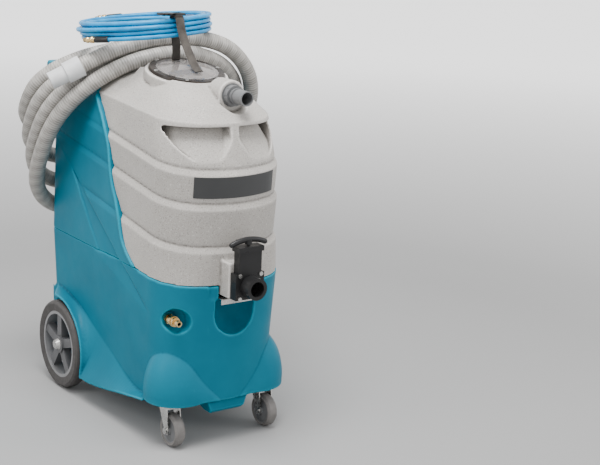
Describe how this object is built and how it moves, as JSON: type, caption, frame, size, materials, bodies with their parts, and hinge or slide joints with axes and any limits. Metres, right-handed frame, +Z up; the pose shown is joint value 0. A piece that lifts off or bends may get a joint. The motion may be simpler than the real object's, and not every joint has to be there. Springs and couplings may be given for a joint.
{
  "type": "portable carpet and spot extractor",
  "caption": "Portable carpet extractor: grey recovery tank and turquoise solution tank hinged on a wheeled base, with coiled hoses on top.",
  "frame": {"origin": "on the floor under the middle of the machine's length and width, hoses not counted", "axes": "+X to the side with the vacuum inlet's offset, -Y out of the front (dump valve), +Z up"},
  "size_m": [0.6571, 0.9334, 1.0985],
  "materials": {
    "turquoise_shell": "rotationally moulded, low gloss",
    "grey_tank": "rotationally moulded, fine grain",
    "badge_plate": "plain dark plate",
    "black_plastic": "moulded",
    "dark_plastic": "moulded",
    "white_plastic": "moulded",
    "white_tube": "extruded",
    "clear_plastic": "clear, polished",
    "rubber": "moulded",
    "grey_rubber": "moulded",
    "caster_rubber": "moulded",
    "bright_steel": "zinc plated",
    "aluminium": "cast",
    "brass": "machined",
    "black_paint": "satin",
    "grey_hose": "corrugated, extruded",
    "cuff_grey": "moulded, soft",
    "blue_hose": "extruded",
    "webbing": "woven nylon"
  },
  "bodies": {
    "base": {"base_housing": "turquoise_shell", "strike_plate": "bright_steel", "strike_screws": "bright_steel", "rear_axle": "bright_steel", "axle_nuts": "bright_steel", "left_caster_plate": "bright_steel", "right_caster_plate": "bright_steel", "caster_bolts": "bright_steel", "hinge_pin": "bright_steel", "coupler_body": "brass", "switch_bezels": "black_plastic", "power_inlet": "black_plastic", "pump_motor": "black_paint", "pump_head": "aluminium", "pump_fittings": "brass", "pump_bracket": "bright_steel", "pressure_tube": "white_tube"},
    "tanks": {"recovery_tank": "grey_tank", "solution_tank": "turquoise_shell", "badge": "badge_plate", "lid_ring": "black_plastic", "lid_screws": "bright_steel", "lid_gasket": "rubber", "clear_lid": "clear_plastic", "inlet_barb": "dark_plastic", "inlet_nut": "dark_plastic", "standpipe": "white_plastic", "float_cage": "white_plastic", "valve_body_rear": "black_plastic", "valve_body_front": "black_plastic", "valve_cap": "black_plastic", "valve_bolts": "bright_steel", "vac_fan_housing": "aluminium", "vac_motor_can": "black_paint", "vac_intake": "white_plastic", "exhaust_hose": "grey_hose", "supply_tube": "white_tube", "tank_fitting": "white_plastic", "vacuum_hose_coil": "grey_hose", "vacuum_hose_end": "grey_hose", "hose_cuff": "cuff_grey", "solution_hose_coil": "blue_hose", "strap": "webbing", "strap_buckle": "black_plastic"},
    "float": {"float_ball": "white_plastic"},
    "gate": {"gate_blade": "black_plastic", "gate_handle": "black_plastic"},
    "outlet_sleeve": {"coupler_sleeve": "brass"},
    "rocker_1": {"rocker_switch_1": "black_plastic"},
    "rocker_2": {"rocker_switch_2": "black_plastic"},
    "left_wheel": {"left_tyre": "grey_rubber", "left_hub": "dark_plastic"},
    "left_swivel": {"left_caster_fork": "bright_steel"},
    "left_caster_wheel": {"left_caster_core": "dark_plastic", "left_caster_tread": "caster_rubber"},
    "right_wheel": {"right_tyre": "grey_rubber", "right_hub": "dark_plastic"},
    "right_swivel": {"right_caster_fork": "bright_steel"},
    "right_caster_wheel": {"right_caster_core": "dark_plastic", "right_caster_tread": "caster_rubber"}
  },
  "joints": [
    {"name": "tank_tilt", "type": "hinge", "parent": "base", "child": "tanks", "pos_m": [0, 0.3955, 0.449], "axis": [-1, 0, 0], "range_deg": [0, 65], "deforming": ["exhaust_hose", "supply_tube"]},
    {"name": "float_lift", "type": "slide", "parent": "tanks", "child": "float", "axis": [0, 0, 1], "range_m": [0, 0.04]},
    {"name": "gate_pull", "type": "slide", "parent": "tanks", "child": "gate", "axis": [0, 0, 1], "range_m": [0, 0.045]},
    {"name": "outlet_sleeve_pull", "type": "slide", "parent": "base", "child": "outlet_sleeve", "axis": [0, 1, 0], "range_m": [0, 0.004], "stiffness_N_per_m": 1500},
    {"name": "rocker_1_press", "type": "hinge", "parent": "base", "child": "rocker_1", "pos_m": [-0.096, 0.379, 0.33], "axis": [1, 0, 0], "range_deg": [0, 16]},
    {"name": "rocker_2_press", "type": "hinge", "parent": "base", "child": "rocker_2", "pos_m": [-0.06, 0.379, 0.33], "axis": [1, 0, 0], "range_deg": [0, 16]},
    {"name": "left_wheel_spin", "type": "hinge", "parent": "base", "child": "left_wheel", "pos_m": [-0.198, 0.273, 0.127], "axis": [1, 0, 0], "continuous": true},
    {"name": "left_caster_swivel", "type": "hinge", "parent": "base", "child": "left_swivel", "pos_m": [-0.143, -0.24, 0.1], "axis": [0, 0, 1], "continuous": true},
    {"name": "left_caster_spin", "type": "hinge", "parent": "left_swivel", "child": "left_caster_wheel", "pos_m": [-0.143, -0.265, 0.0445], "axis": [1, 0, 0], "continuous": true},
    {"name": "right_wheel_spin", "type": "hinge", "parent": "base", "child": "right_wheel", "pos_m": [0.198, 0.273, 0.127], "axis": [1, 0, 0], "continuous": true},
    {"name": "right_caster_swivel", "type": "hinge", "parent": "base", "child": "right_swivel", "pos_m": [0.143, -0.24, 0.1], "axis": [0, 0, 1], "continuous": true},
    {"name": "right_caster_spin", "type": "hinge", "parent": "right_swivel", "child": "right_caster_wheel", "pos_m": [0.143, -0.265, 0.0445], "axis": [1, 0, 0], "continuous": true}
  ]
}
